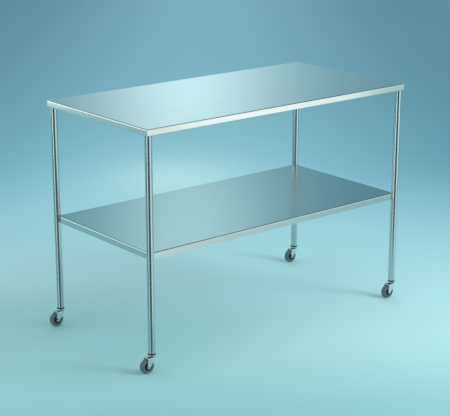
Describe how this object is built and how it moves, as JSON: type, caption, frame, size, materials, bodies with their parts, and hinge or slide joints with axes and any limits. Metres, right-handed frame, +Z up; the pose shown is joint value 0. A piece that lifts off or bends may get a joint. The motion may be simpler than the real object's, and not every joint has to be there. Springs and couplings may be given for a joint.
{
  "type": "instrument table",
  "caption": "Rectangular stainless steel worktop with turned-down edges over a lower shelf, on round tube legs with small swivel casters.",
  "frame": {"origin": "on the floor, at the middle of the box that the part fills with its casters trailing towards -X", "axes": "+X along the length of the worktop, +Y from the front long side to the rear one, +Z up out of the worktop"},
  "size_m": [1.2494, 0.61, 0.864],
  "materials": {
    "worktop_steel": "stainless sheet, fine grain along its length, semi-bright, worn by wiping",
    "shelf_steel": "stainless sheet, fine grain along its length, semi-bright",
    "folded_steel": "mill-finish sheet steel, dull grey",
    "tube_steel": "drawn stainless tube, polished along its length to a satin shine",
    "socket_plastic": "black moulded nylon",
    "caster_chrome": "bright nickel-chrome plate on pressed steel",
    "zinc_plate": "bright zinc plate on turned steel",
    "ball_steel": "hardened and polished steel",
    "hub_plastic": "black moulded hub, slightly glossy",
    "tyre_rubber": "grey rubber tyre, scuffed on the tread",
    "seal_rubber": "black rubber ring"
  },
  "bodies": {
    "table": {"tabletop": "worktop_steel", "shelf": "shelf_steel", "top_stiffener_front": "folded_steel", "top_stiffener_rear": "folded_steel", "shelf_stiffener_front": "folded_steel", "shelf_stiffener_rear": "folded_steel", "swivel_balls": "ball_steel", "dust_seals": "seal_rubber", "kingpin_washers": "zinc_plate", "grip_rings": "ball_steel", "leg_front_left": "tube_steel", "leg_front_right": "tube_steel", "leg_rear_left": "tube_steel", "leg_rear_right": "tube_steel", "leg_gusset_front_left": "folded_steel", "leg_gusset_front_right": "folded_steel", "leg_gusset_rear_left": "folded_steel", "leg_gusset_rear_right": "folded_steel", "caster_socket_front_left": "socket_plastic", "caster_socket_front_right": "socket_plastic", "caster_socket_rear_left": "socket_plastic", "caster_socket_rear_right": "socket_plastic", "kingpin_front_left": "zinc_plate", "kingpin_front_right": "zinc_plate", "kingpin_rear_left": "zinc_plate", "kingpin_rear_right": "zinc_plate", "race_cap_front_left": "caster_chrome", "race_cap_front_right": "caster_chrome", "race_cap_rear_left": "caster_chrome", "race_cap_rear_right": "caster_chrome"},
    "swivel_front_left": {"fork_front_left": "caster_chrome", "axle_bolt_front_left": "zinc_plate", "axle_nut_front_left": "zinc_plate", "axle_bush_front_left": "zinc_plate"},
    "wheel_front_left": {"wheel_hub_front_left": "hub_plastic", "tyre_front_left": "tyre_rubber"},
    "swivel_front_right": {"fork_front_right": "caster_chrome", "axle_bolt_front_right": "zinc_plate", "axle_nut_front_right": "zinc_plate", "axle_bush_front_right": "zinc_plate"},
    "wheel_front_right": {"wheel_hub_front_right": "hub_plastic", "tyre_front_right": "tyre_rubber"},
    "swivel_rear_left": {"fork_rear_left": "caster_chrome", "axle_bolt_rear_left": "zinc_plate", "axle_nut_rear_left": "zinc_plate", "axle_bush_rear_left": "zinc_plate"},
    "wheel_rear_left": {"wheel_hub_rear_left": "hub_plastic", "tyre_rear_left": "tyre_rubber"},
    "swivel_rear_right": {"fork_rear_right": "caster_chrome", "axle_bolt_rear_right": "zinc_plate", "axle_nut_rear_right": "zinc_plate", "axle_bush_rear_right": "zinc_plate"},
    "wheel_rear_right": {"wheel_hub_rear_right": "hub_plastic", "tyre_rear_right": "tyre_rubber"}
  },
  "joints": [
    {"name": "caster_swivel_front_left", "type": "hinge", "parent": "table", "child": "swivel_front_left", "pos_m": [-0.5783, -0.289, 0.0568], "axis": [0, 0, 1], "continuous": true},
    {"name": "wheel_roll_front_left", "type": "hinge", "parent": "swivel_front_left", "child": "wheel_front_left", "pos_m": [-0.5993, -0.289, 0.0254], "axis": [0, 1, 0], "continuous": true},
    {"name": "caster_swivel_front_right", "type": "hinge", "parent": "table", "child": "swivel_front_right", "pos_m": [0.6087, -0.289, 0.0568], "axis": [0, 0, 1], "continuous": true},
    {"name": "wheel_roll_front_right", "type": "hinge", "parent": "swivel_front_right", "child": "wheel_front_right", "pos_m": [0.5877, -0.289, 0.0254], "axis": [0, 1, 0], "continuous": true},
    {"name": "caster_swivel_rear_left", "type": "hinge", "parent": "table", "child": "swivel_rear_left", "pos_m": [-0.5783, 0.289, 0.0568], "axis": [0, 0, 1], "continuous": true},
    {"name": "wheel_roll_rear_left", "type": "hinge", "parent": "swivel_rear_left", "child": "wheel_rear_left", "pos_m": [-0.5993, 0.289, 0.0254], "axis": [0, 1, 0], "continuous": true},
    {"name": "caster_swivel_rear_right", "type": "hinge", "parent": "table", "child": "swivel_rear_right", "pos_m": [0.6087, 0.289, 0.0568], "axis": [0, 0, 1], "continuous": true},
    {"name": "wheel_roll_rear_right", "type": "hinge", "parent": "swivel_rear_right", "child": "wheel_rear_right", "pos_m": [0.5877, 0.289, 0.0254], "axis": [0, 1, 0], "continuous": true}
  ]
}
